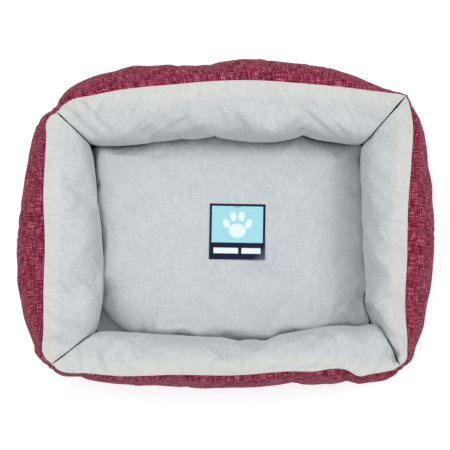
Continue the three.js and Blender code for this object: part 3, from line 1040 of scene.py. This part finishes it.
back_wall, right_wall, front_wall, left_wall = walls.values()
for half, order in (
    ("back", (left_wall, back_wall, right_wall)),
    ("front", (right_wall, front_wall, left_wall)),
):
    outer_cloth(half, order)
    lining_cloth(half, order)

# ---- Stuffing and thread of the walls -------------------------------------------------------

# How far the fibre lies inside the cloths, at most which share of the way to the wall's middle
# that is, and how high its underside is
FILL_INSET, FILL_SHARE = 11 * MM, 0.62
FILL_FOOT = 4.5 * MM
FILL_ROWS = 26
FILL_SPACING = 7 * MM

# A corner's thread: its turns, its points to a turn, its radius, its loops' radius, how far
# inside the corner seam it lies, and between which shares of the height it runs
THREAD_TURNS, THREAD_STEPS = 18, 14
THREAD_RADIUS, LOOP_RADIUS = 0.42 * MM, 0.9 * MM
THREAD_INSET = 0.6 * MM
THREAD_LOW, THREAD_HIGH = 0.03, 0.74


def wall_fill(wall):
    """The fibre inside a wall: its two faces moved in towards each other, with soft lumps."""
    columns = np.linspace(3, wall.columns - 4, int(wall.length / FILL_SPACING))
    outer = resampled(wall.outer, np.linspace(1.5, OUTER_ROWS - 1, FILL_ROWS), columns)
    inner = resampled(wall.inner, np.linspace(1.8, INNER_ROWS - 1, FILL_ROWS), columns)
    middle = (outer + inner) / 2
    ring = np.concatenate([outer[::-1], inner])
    inward = np.concatenate([middle[::-1], middle]) - ring
    depth = np.linalg.norm(inward, axis=2, keepdims=True)
    lumps = FILL_INSET * (1 + 0.3 * (1 + noise(ring, 24 * MM, 5)))[..., None]
    ring = ring + inward / np.maximum(depth, 1e-9) * np.minimum(lumps, depth * FILL_SHARE)
    lowered = ring[..., 2] - lumps[..., 0] * smoothstep(ring[..., 2] / WALL_HEIGHT)
    ring[..., 2] = np.maximum(lowered, FILL_FOOT)
    ring = np.swapaxes(ring, 0, 1)
    count, around = ring.shape[:2]
    faces = grid_faces(count, around, closed=True).tolist()
    for first in (0, (count - 1) * around):
        for k in range(FILL_ROWS - 1):
            rung = (k, k + 1, around - k - 2, around - k - 1)
            faces.append([first + corner for corner in rung])
    made = mesh_object("wall_fibre_" + wall.name, ring, faces, ring[..., :2] + ring[..., 2:])
    dress(made, "bed_shell", "fibre", fibre_material, "bolster_fill_" + wall.name)


def corner_thread(name):
    """Thread whipped round the seam that pinches two walls together."""
    up = np.linspace(THREAD_LOW, THREAD_HIGH, THREAD_TURNS * THREAD_STEPS)
    loop = LOOP_RADIUS * smoothstep((THREAD_HIGH + 0.04 - up) / 0.1)[:, None]
    angle = np.linspace(0, 2 * math.pi * THREAD_TURNS, len(up))
    seam = np.array([plan_corner(name, share) for share in up])
    seam = seam - np.sign(seam[0]) * THREAD_INSET
    height = FOOT_HEIGHT + (CORNER_HEIGHT - FOOT_HEIGHT) * up
    path = np.column_stack([seam + loop * np.column_stack([np.cos(angle), np.sin(angle)]), height])
    made = tube("corner_thread_" + name, path, THREAD_RADIUS, sides=6)
    dress(made, "bed_shell", "thread", thread_material, "corner_stitch_" + name)


for wall in walls.values():
    wall_fill(wall)
for name in CORNER_LEAN:
    corner_thread(name)

# ---- Base and floor of the well -----------------------------------------------------------

# The grip dots: their distance apart in a row, their rows' as a share of it, their radius, and
# the margin that they leave at the edge
DOT_PITCH, DOT_ROWS, DOT_RADIUS, DOT_MARGIN = 13 * MM, 0.87, 2.2 * MM, 8 * MM
BASE_LOW = 0.5 * MM

# An inner foot row runs this far along the mitres before it comes to the corners of the well
MITRE_FOOT = 62 * MM


def round_panel(loop, low, high, rings=26):
    """Points and faces of a flat cloth with a closed outline, its top slightly uneven."""
    middle = loop.mean(axis=0)
    share = np.linspace(1, 0, rings + 1)[:-1]
    plan = middle + share[:, None, None] * (loop - middle)
    level = np.ones(plan.shape[:2] + (1,))
    tops, bottoms = (np.concatenate([plan, level * z], axis=2) for z in (high, low))
    tops[1:, :, 2] += 0.25 * MM * noise(plan[1:], 30 * MM, 8)
    count = len(loop)
    size = rings * count
    last = size - count
    edge = np.arange(count)
    after = np.roll(edge, -1)
    faces = grid_faces(rings, count, closed=True)
    faces = faces.tolist() + (faces[:, ::-1] + size).tolist()
    faces += np.stack([edge, after, after + size, edge + size], axis=1).tolist()
    faces += [[last + a, last + b, 2 * size] for a, b in zip(edge, after)]
    faces += [[size + last + b, size + last + a, 2 * size + 1] for a, b in zip(edge, after)]
    hubs = [[*middle, high], [*middle, low]]
    return np.concatenate([tops.reshape(-1, 3), bottoms.reshape(-1, 3), hubs]), faces


def loop_of(rows, count, inset):
    """A closed outline through the walls' rows in plan, moved in towards its middle."""
    loop = np.concatenate([row[:-1, :2] for row in rows])
    loop = np.concatenate([loop, loop[:1]])
    loop = respaced(np.column_stack([loop, np.zeros(len(loop))]), count + 1)[:-1, :2]
    for _ in range(3):
        loop = (np.roll(loop, 1, axis=0) + 2 * loop + np.roll(loop, -1, axis=0)) / 4
    out = loop - loop.mean(axis=0)
    return loop - out / np.linalg.norm(out, axis=1, keepdims=True) * inset


def reach_of(out, angles):
    """How far an outline reaches from its middle at some angles, from its places about it."""
    own = np.arctan2(out[:, 1], out[:, 0])
    order = np.argsort(own)
    return np.interp(angles, own[order], np.linalg.norm(out, axis=1)[order], period=2 * math.pi)


def grip_dots(loop, top):
    """Points and faces of low round dots, wherever one fits inside the outline."""
    middle = loop.mean(axis=0)
    low, high = loop.min(axis=0), loop.max(axis=0)
    ring = np.arange(8) * math.pi / 4
    points, faces = [], []
    for row, y in enumerate(np.arange(low[1], high[1], DOT_PITCH * DOT_ROWS)):
        for x in np.arange(low[0] + (row % 2) * DOT_PITCH / 2, high[0], DOT_PITCH):
            away = np.array([x, y]) - middle
            reach = reach_of(loop - middle, math.atan2(away[1], away[0]))
            if np.hypot(*away) > reach - DOT_MARGIN:
                continue
            first = len(points)
            for share, z in ((1, top), (0.9, top * 0.45), (0.5, 0.0)):
                size = DOT_RADIUS * share
                points += [(x + size * math.cos(a), y + size * math.sin(a), z) for a in ring]
            faces += grid_faces(3, 8, start=first, closed=True).tolist()
            faces += [[first + k for k in range(8)], [first + 16 + k for k in range(8)]]
    return points, faces


def between_mitres(row):
    """The stretch of an inner foot row between its two well corners."""
    along = lengths(row)
    return row[(along > MITRE_FOOT) & (along < along[-1] - MITRE_FOOT)]


def base_and_floor():
    """The non-slip cloth under the bed, with its dots, and the plush floor inside."""
    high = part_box("base_panel")[1]
    loop = loop_of([wall.outer[-1] for wall in walls.values()], 260, 2.5 * MM)
    points, faces = round_panel(loop, BASE_LOW, high.z)
    dots, dot_faces = grip_dots(loop, BASE_LOW + 0.1 * MM)
    faces += [[corner + len(points) for corner in face] for face in dot_faces]
    points = np.concatenate([points, dots])
    made = mesh_object("base_cloth_panel", points, faces, points[:, :2])
    dress(made, "bed_shell", "base_cloth", base_material, "base_panel")

    low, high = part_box("floor_panel")
    loop = loop_of([between_mitres(wall.inner[-1]) for wall in walls.values()], 220, 3 * MM)
    points, faces = round_panel(loop, low.z, high.z - 0.3 * MM)
    made = mesh_object("well_floor", points, faces, points[:, :2])
    dress(made, "bed_shell", "plush", plush_material, "floor_panel")


base_and_floor()

# ---- Cushion --------------------------------------------------------------------------------

# How far the cushion spreads past its packed box on each side, and how wide its edge rolls, in mm
CUSHION_SPREAD = {"left": 18, "right": 24, "front": 20, "back": 20}
CUSHION_ROLL = {"left": 18, "right": 56, "front": 18, "back": 40}

# The shape of each side's roll: how full its section is, and how flat at the very edge
CUSHION_SHOULDER = {"left": (2.2, 0.6), "right": (1.6, 0.9), "front": (2.2, 0.6), "back": (1.7, 0.8)}

# Corner radii in plan, in mm
CUSHION_CORNER = {"back_left": 16, "back_right": 18, "front_right": 30, "front_left": 92}
CUSHION_CLOTH = 2.2 * MM
CUSHION_STEP = 5 * MM

# The height at which the cushion touches the walls, and how far it is kept off them
CUSHION_TOUCH, CUSHION_CLEAR = 38 * MM, 1.0 * MM

# Its crown before it is inflated: how far below the frame's, its lumps, and its slope each way
CROWN_DROP, CROWN_LUMPS = 4 * MM, 3 * MM
CROWN_SLOPE = np.array([-0.030, 0.022])


def cushion_box():
    """The cushion's outline before it is fitted to the walls: left, right, front and back."""
    low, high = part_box("cushion_top_panel")
    spread = {side: value * MM for side, value in CUSHION_SPREAD.items()}
    return low.x - spread["left"], high.x + spread["right"], low.y - spread["front"], high.y + spread["back"]


def corner_radius(plan_offset):
    """The cushion's corner radius in the quarter that each place, from its middle, lies in."""
    right, back = plan_offset[..., 0] > 0, plan_offset[..., 1] > 0
    radius = {name: value * MM for name, value in CUSHION_CORNER.items()}
    at_back = np.where(right, radius["back_right"], radius["back_left"])
    return np.where(back, at_back, np.where(right, radius["front_right"], radius["front_left"]))


def rounded_plan(box, rows, columns):
    """A grid over a box whose corners are rounded, even inside and true to the outline."""
    left, right, front, back = box
    middle = np.array([(left + right) / 2, (front + back) / 2])
    half = np.array([(right - left) / 2, (back - front) / 2])
    v, u = np.meshgrid(np.linspace(-1, 1, rows), np.linspace(-1, 1, columns), indexing="ij")
    square = np.stack([u, v], axis=-1)
    reach = np.maximum(np.abs(u), np.abs(v))[..., None]
    edge = square / np.maximum(reach, 1e-9) * half
    corner = corner_radius(edge)[..., None]
    core = half - corner
    past = np.maximum(np.abs(edge) - core, 0)
    size = np.linalg.norm(past, axis=-1, keepdims=True)
    drawn_in = np.where(size > corner, corner / np.maximum(size, 1e-9), 1)
    rim = np.sign(edge) * (np.minimum(np.abs(edge), core) + past * drawn_in)
    share = reach ** 3
    return middle + square * half * (1 - share) + rim * share * reach


def cushion_crown(plan, box):
    """How full the cushion is at each place, from 0 at its edge to 1."""
    left, right, front, back = box
    x, y = plan[..., 0], plan[..., 1]
    gaps = {"left": x - left, "right": right - x, "front": y - front, "back": back - y}
    full = np.ones(plan.shape[:2])
    for side, gap in gaps.items():
        part = np.clip(gap / (CUSHION_ROLL[side] * MM), 0, 1)
        bend, rise = CUSHION_SHOULDER[side]
        full = full * (1 - (1 - part) ** bend) ** rise
    middle = np.array([(left + right) / 2, (front + back) / 2])
    corner = corner_radius(plan - middle)
    core = np.array([right - left, back - front]) / 2 - corner[..., None]
    past = np.maximum(np.abs(plan - middle) - core, 0)
    out = np.clip(1 - np.linalg.norm(past, axis=-1) / corner, 0, 1)
    at_corner = np.clip(past.min(axis=-1) / (0.25 * corner), 0, 1)
    full = full * (1 - at_corner * (1 - (1 - (1 - out) ** 4) ** 0.7))
    full[[0, -1]] = 0
    full[:, [0, -1]] = 0
    return full


def fitted(plan, box):
    """Draws a cushion's plan in where it would touch the walls' inner faces."""
    middle = np.array([(box[0] + box[1]) / 2, (box[2] + box[3]) / 2])
    around = []
    for wall in walls.values():
        heights = wall.inner[..., 2].mean(axis=1)
        row = wall.inner[np.argmin(np.abs(heights - CUSHION_TOUCH))]
        along = lengths(row)
        around.append(row[(along > 40 * MM) & (along < along[-1] - 40 * MM), :2] - middle)
    steps = np.linspace(-math.pi, math.pi, 721)[:-1]
    room = reach_of(np.concatenate(around), steps)
    room = np.min([np.roll(room, k) for k in (-1, 0, 1)], axis=0)
    room = np.mean([np.roll(room, k) for k in range(-3, 4)], axis=0) - CUSHION_CLEAR
    out = plan - middle
    own = reach_of(np.concatenate([out[0], out[:, -1], out[-1], out[:, 0]]), steps)
    turn = np.arctan2(out[..., 1], out[..., 0])
    share = np.linalg.norm(out, axis=-1) / np.interp(turn, steps, own, period=2 * math.pi)
    ratio = np.interp(turn, steps, np.minimum(1, room / own), period=2 * math.pi)
    return middle + out * (1 + (ratio - 1) * share ** 4)[..., None]


def cushion_grids():
    """The cushion's top and bottom as grids that share their edge."""
    box = cushion_box()
    left, right, front, back = box
    plan = rounded_plan(box, int((back - front) / CUSHION_STEP) + 1, int((right - left) / CUSHION_STEP) + 1)
    full = cushion_crown(plan, box)
    slope = (plan - plan.mean(axis=(0, 1))) @ CROWN_SLOPE
    swell = (CROWN_LUMPS * noise(plan, 90 * MM, 12) + slope) * full
    top_low, top_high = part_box("cushion_top_panel")
    bottom_low, bottom_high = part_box("cushion_bottom_panel")
    seam = (top_low.z + bottom_high.z) / 2
    top = seam + (top_high.z - seam - CROWN_DROP) * full + swell
    sole = 1 - (1 - np.clip(full, 0, 1)) ** 3
    bottom = seam - (seam - bottom_low.z) * sole
    plan = fitted(plan, box)
    return [np.concatenate([plan, z[..., None]], axis=2) for z in (top, bottom)]


def inflated(start):
    """The cushion's top with folds from a simulation."""
    made = inflatable("sim_cushion", start, CUSHION_GROWTH, turned=True)
    points = run_cloth([made])[0].reshape(start.shape)
    return kept_folds(start, points, CUSHION_FOLD, CUSHION_KEPT)


def label_frame():
    """The tag's middle in plan, half its width, and the height of its underside."""
    low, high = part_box("label_card")
    return np.array([(low.x + high.x) / 2, (low.y + high.y) / 2]), (high.x - low.x) / 2, low.z


def cushion_cloths(top, bottom):
    """The cushion's two cloths, with the top one flat under the tag."""
    rows, columns = top.shape[:2]
    down = np.linspace(0, rows - 1, 2 * rows - 1)
    across = np.linspace(0, columns - 1, 2 * columns - 1)
    top = resampled(top, down, across)
    bottom = resampled(bottom, down, across)
    uv = top[..., :2]
    middle, half, card_low = label_frame()
    level = card_low - 0.5 * MM
    under = 1 - smoothstep((np.abs(uv - middle).max(axis=2) - half) / (25 * MM))
    top[..., 2] = np.minimum(top[..., 2], level) * (1 - under) + level * under
    made = closed_sheet("cushion_top_cloth", top, uv, CUSHION_CLOTH, side=-1)
    dress(made, "cushion", "plush", plush_material, "cushion_top_panel")
    bottom[..., 2] = np.maximum(bottom[..., 2] - 0.5 * MM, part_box("cushion_bottom_panel")[0].z)
    made = closed_sheet("cushion_bottom_cloth", bottom, uv, CUSHION_CLOTH * 0.8)
    dress(made, "cushion", "plush", plush_material, "cushion_bottom_panel")


def cushion_fill(top, bottom):
    """The fibre inside the cushion: its two faces moved inwards, the upper one with soft lumps."""
    rows, columns = top.shape[:2]
    down, across = np.linspace(2.2, rows - 3.2, rows), np.linspace(2.2, columns - 3.2, columns)
    top = resampled(top, down, across)
    bottom = resampled(bottom, down, across)
    top[..., 2] = np.minimum(top[..., 2], label_frame()[2] - 0.5 * MM)
    depth = 4 * MM + 0.8 * MM * (1 + noise(top, 25 * MM, 15))
    top = top - normals_of(top, -1) * depth[..., None]
    bottom = bottom - normals_of(bottom, 1) * 3.5 * MM
    top[..., 2] = np.maximum(top[..., 2], bottom[..., 2] + 1 * MM)
    made = closed_pair("cushion_fibre", top, bottom, top[..., :2], bottom[..., :2])
    dress(made, "cushion", "fibre", fibre_material, "cushion_fill")


cushion_top, cushion_bottom = cushion_grids()
cushion_top = inflated(cushion_top)
cushion_cloths(cushion_top, cushion_bottom)
cushion_fill(cushion_top, cushion_bottom)

# ---- Tag and its fastener -------------------------------------------------------------------

TAG_TURN = math.radians(-1)
TAG_THICKNESS = 0.6 * MM
TAG_POINTS = 49

# The tag's lower right corner lifts this far, over the part of the card past this place
TAG_LIFT, TAG_LIFT_FROM = 6.5 * MM, 0.75

# The fastener's radius, and how far its stem leans to the right over its length
BAR_RADIUS, STEM_LEAN = 0.55 * MM, 0.02 * MM


def turned(places, middle):
    """Plan places turned a little about the tag's middle."""
    c, s = math.cos(TAG_TURN), math.sin(TAG_TURN)
    return middle + (places - middle) @ np.array([[c, s], [-s, c]])


def tag_card():
    """The card, with its lower right corner lifted and its front edge a little curled."""
    middle, half, low = label_frame()
    places = np.linspace(-1, 1, TAG_POINTS)
    v, u = np.meshgrid(places[::-1], places, indexing="ij")
    plan = turned(middle + np.stack([u, v], axis=-1) * half * 0.995, middle)
    corner = np.clip((u - v - TAG_LIFT_FROM) / (2 - TAG_LIFT_FROM), 0, 1)
    lift = TAG_LIFT * corner ** 2 + 0.5 * MM * (1 - v) / 2 * np.abs(u)
    grid = np.concatenate([plan, (low + TAG_THICKNESS + lift)[..., None]], axis=2)
    uv = np.stack([(u + 1) / 2, (v + 1) / 2], axis=-1)
    made = closed_sheet("tag_card", grid, uv, TAG_THICKNESS, under_uv=PLAIN_SIDE)
    dress(made, "label", "card", card_material, "label_card")


def tag_fastener():
    """A moulded nylon bar lying across the tag's back edge, with its stem through the card."""
    low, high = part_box("label_fastener")
    middle = label_frame()[0]
    x, y = (low.x + high.x) / 2, (low.y + high.y) / 2
    top = high.z - BAR_RADIUS
    s = np.linspace(-1, 1, 25)
    bar = np.stack([x + s * (high.x - low.x) / 2, y + 0 * s, top - 0.25 * MM * s ** 2], axis=1)
    k = np.linspace(0, 1, 9)
    stem = np.stack([x + STEM_LEAN * k, y + 0 * k, top + (low.z - top) * k], axis=1)
    rounded = BAR_RADIUS * np.sqrt(np.clip(1 - np.abs(s) ** 14, 0.04, 1))
    tapered = BAR_RADIUS * (0.62 + 0.25 * (1 - k) ** 3)
    for name, path, radius in (("bar", bar, rounded), ("stem", stem, tapered)):
        path[:, :2] = turned(path[:, :2], middle)
        made = tube("tag_fastener_" + name, path, radius, sides=10)
        dress(made, "label", "clear_nylon", nylon_material, "label_fastener")


tag_card()
tag_fastener()

# ---- Camera, floor and light ------------------------------------------------------------------

# The camera looks almost straight down from the front, with a lens and a distance in mm and m
CAMERA_ELEVATION = math.radians(87)
CAMERA_LENS, CAMERA_DISTANCE = 89.0, 1.575
FLOOR_HALF_SIZE = 60


def placed(name, data, place, target):
    """An object at a place, with -Z towards a target and +Y kept up."""
    made = bpy.data.objects.new(name, data)
    bpy.context.scene.collection.objects.link(made)
    made.location = place
    made.rotation_mode = "QUATERNION"
    made.rotation_quaternion = (Vector(target) - Vector(place)).to_track_quat("-Z", "Y")
    return made


def make_camera():
    data = bpy.data.cameras.new("camera")
    data.lens = CAMERA_LENS
    data.sensor_width = 36
    back = math.cos(CAMERA_ELEVATION) * CAMERA_DISTANCE
    up = math.sin(CAMERA_ELEVATION) * CAMERA_DISTANCE
    target = (0, 0, WALL_HEIGHT / 2)
    bpy.context.scene.camera = placed("camera", data, (0, -back, target[2] + up), target)


def area_light(name, place, target, size, power):
    data = bpy.data.lights.new(name, "AREA")
    data.shape = "RECTANGLE"
    data.size = data.size_y = size
    data.energy = power
    placed(name, data, place, target)


def make_studio():
    """A white floor, a pale sky and two soft lights."""
    size = FLOOR_HALF_SIZE
    points = [(-size, -size, 0), (size, -size, 0), (size, size, 0), (-size, size, 0)]
    floor = mesh_object("studio_floor", points, [(0, 1, 2, 3)], plain=True)
    white = Nodes("studio_floor").finish(
        Base_Color=(0.5, 0.5, 0.5),
        Roughness=0.9,
        Emission_Color=(1.0, 1.0, 1.0),
        Emission_Strength=0.66,
    )
    floor.data.materials.append(white)
    world = bpy.data.worlds.new("studio")
    world.use_nodes = True
    sky = world.node_tree.nodes["Background"].inputs
    sky["Color"].default_value = (0.97, 0.985, 1, 1)
    sky["Strength"].default_value = 0.53
    bpy.context.scene.world = world
    area_light("overhead", (-0.25, 0.05, 1.3), (-0.05, 0, 0), 0.8, 7.4)
    area_light("key", (1.15, 0.3, 1.45), (0, 0, 0.05), 0.6, 7.2)
    bpy.context.scene.view_settings.view_transform = "Standard"


make_camera()
make_studio()
